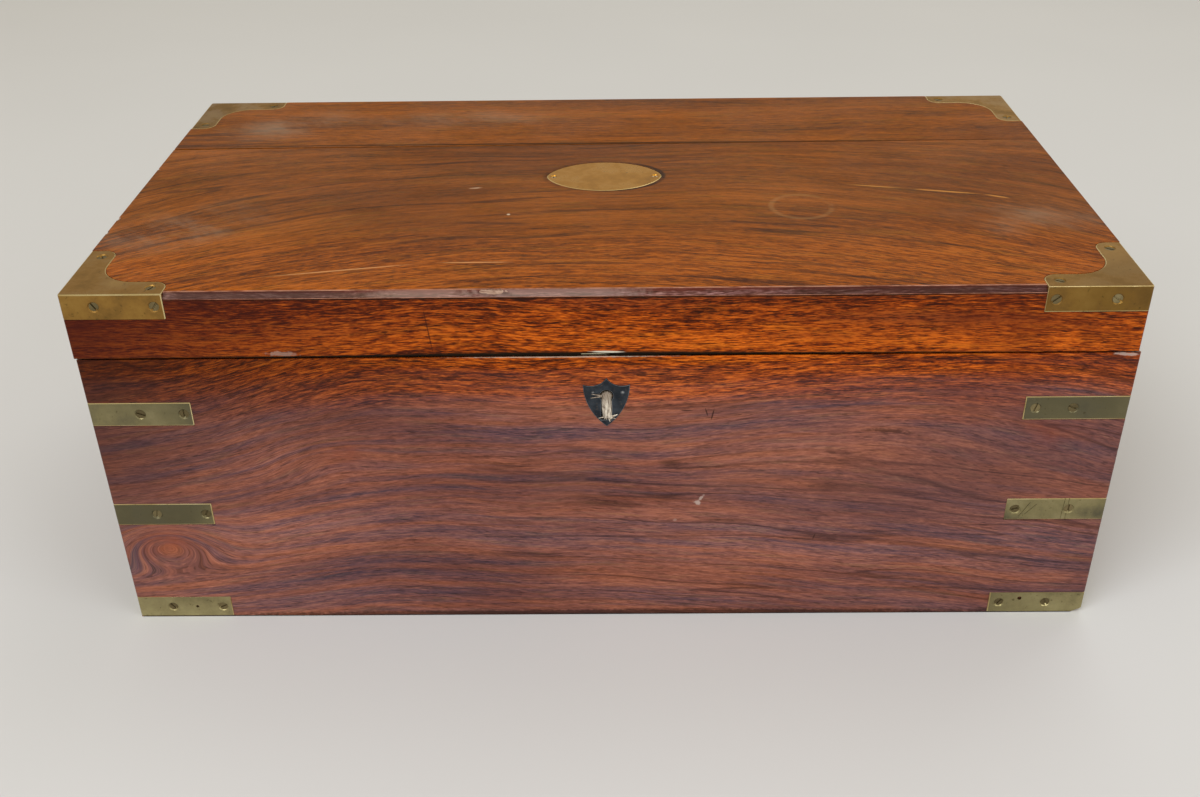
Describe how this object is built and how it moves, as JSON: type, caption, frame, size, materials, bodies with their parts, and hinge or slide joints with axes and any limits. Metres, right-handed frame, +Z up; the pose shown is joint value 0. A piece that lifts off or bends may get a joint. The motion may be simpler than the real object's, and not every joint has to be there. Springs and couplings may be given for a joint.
{
  "type": "writing box",
  "caption": "Brass-bound rosewood writing box with a sloping seam, a lid that opens flat into a leather writing slope, flaps over two wells, pen tray, inkwells, box lock and side handles.",
  "frame": {"origin": "middle of the underside of the base", "axes": "+X along the width to the right seen from the front, -Y to the front with the lock, +Z up"},
  "size_m": [0.501, 0.2732, 0.192],
  "materials": {
    "rosewood": "polished",
    "mahogany": "satin",
    "aged_brass": "dull patina",
    "bright_brass": "satin",
    "blackened_steel": "blackened",
    "bright_steel": "filed",
    "leather": "tooled skiver",
    "glass": "clear"
  },
  "bodies": {
    "base": {"base_front": "rosewood", "base_back": "rosewood", "base_left": "rosewood", "base_right": "rosewood", "base_bottom": "mahogany", "well_partition": "mahogany", "compartment_floor": "mahogany", "ink_dividers": "mahogany", "base_flap_ledges": "mahogany", "pen_tray": "mahogany", "inkwells": "glass", "inkwell_collars": "aged_brass", "lock_case": "aged_brass", "lock_face_plate": "aged_brass", "escutcheon": "blackened_steel", "escutcheon_pins": "blackened_steel", "strap_front_left_bottom": "aged_brass", "strap_front_left_middle": "aged_brass", "strap_front_left_top": "aged_brass", "strap_front_right_bottom": "aged_brass", "strap_front_right_middle": "aged_brass", "strap_front_right_top": "aged_brass", "straps_back_left": "aged_brass", "straps_back_right": "aged_brass", "base_screws": "aged_brass", "base_hinge_leaf_left": "aged_brass", "base_hinge_leaf_right": "aged_brass", "hinge_pins": "aged_brass", "handle_plate_left": "aged_brass", "handle_plate_right": "aged_brass"},
    "lid": {"lid_front": "rosewood", "lid_back": "rosewood", "lid_left": "rosewood", "lid_right": "rosewood", "lid_top_front_board": "rosewood", "lid_top_back_board": "rosewood", "lid_corner_front_left": "aged_brass", "lid_corner_front_right": "aged_brass", "lid_corner_back_left": "aged_brass", "lid_corner_back_right": "aged_brass", "lid_strap_left": "aged_brass", "lid_strap_right": "aged_brass", "lid_screws": "aged_brass", "lid_hinge_leaf_left": "aged_brass", "lid_hinge_leaf_right": "aged_brass", "name_plate": "bright_brass", "name_plate_screws": "bright_brass", "link_plate": "aged_brass", "lid_flap_ledges": "mahogany"},
    "base_flap": {"base_flap": "rosewood", "base_flap_leather": "leather", "base_flap_pins": "aged_brass"},
    "lid_flap": {"lid_flap": "rosewood", "lid_flap_leather": "leather", "lid_flap_pins": "aged_brass"},
    "lock_bolt": {"lock_bolt": "bright_steel"},
    "bail_left": {"bail_left": "aged_brass"},
    "bail_right": {"bail_right": "aged_brass"},
    "inkwell_cap_left": {"inkwell_cap_left": "aged_brass"},
    "inkwell_cap_right": {"inkwell_cap_right": "aged_brass"}
  },
  "joints": [
    {"name": "lid_hinge", "type": "hinge", "parent": "base", "child": "lid", "pos_m": [0, 0.1355, 0.096], "axis": [-1, 0, 0], "range_deg": [0, 180]},
    {"name": "base_flap_pivot", "type": "hinge", "parent": "base", "child": "base_flap", "pos_m": [0, 0.1189, 0.0955], "axis": [-1, 0, 0], "range_deg": [0, 63]},
    {"name": "lid_flap_pivot", "type": "hinge", "parent": "lid", "child": "lid_flap", "pos_m": [0, 0.1189, 0.10411], "axis": [1, 0, 0], "range_deg": [0, 63]},
    {"name": "lock_bolt_slide", "type": "slide", "parent": "base", "child": "lock_bolt", "axis": [-1, 0, 0], "range_m": [0, 0.0032]},
    {"name": "bail_left_swing", "type": "hinge", "parent": "base", "child": "bail_left", "pos_m": [-0.2464, 0, 0.0892], "axis": [0, 1, 0], "range_deg": [0, 90]},
    {"name": "bail_right_swing", "type": "hinge", "parent": "base", "child": "bail_right", "pos_m": [0.2464, 0, 0.0892], "axis": [0, -1, 0], "range_deg": [0, 90]},
    {"name": "inkwell_cap_left_hinge", "type": "hinge", "parent": "base", "child": "inkwell_cap_left", "pos_m": [-0.213, -0.113, 0.1302], "axis": [1, 0, 0], "range_deg": [0, 90]},
    {"name": "inkwell_cap_right_hinge", "type": "hinge", "parent": "base", "child": "inkwell_cap_right", "pos_m": [0.213, -0.113, 0.1302], "axis": [1, 0, 0], "range_deg": [0, 90]}
  ],
  "couplings": [
    {"joint": "base_flap_pivot", "follows": "lid_hinge", "ratio": 0.35},
    {"joint": "lid_flap_pivot", "follows": "lid_hinge", "ratio": 0.35},
    {"joint": "inkwell_cap_left_hinge", "follows": "lid_hinge", "ratio": 0.5},
    {"joint": "inkwell_cap_right_hinge", "follows": "lid_hinge", "ratio": 0.5}
  ]
}
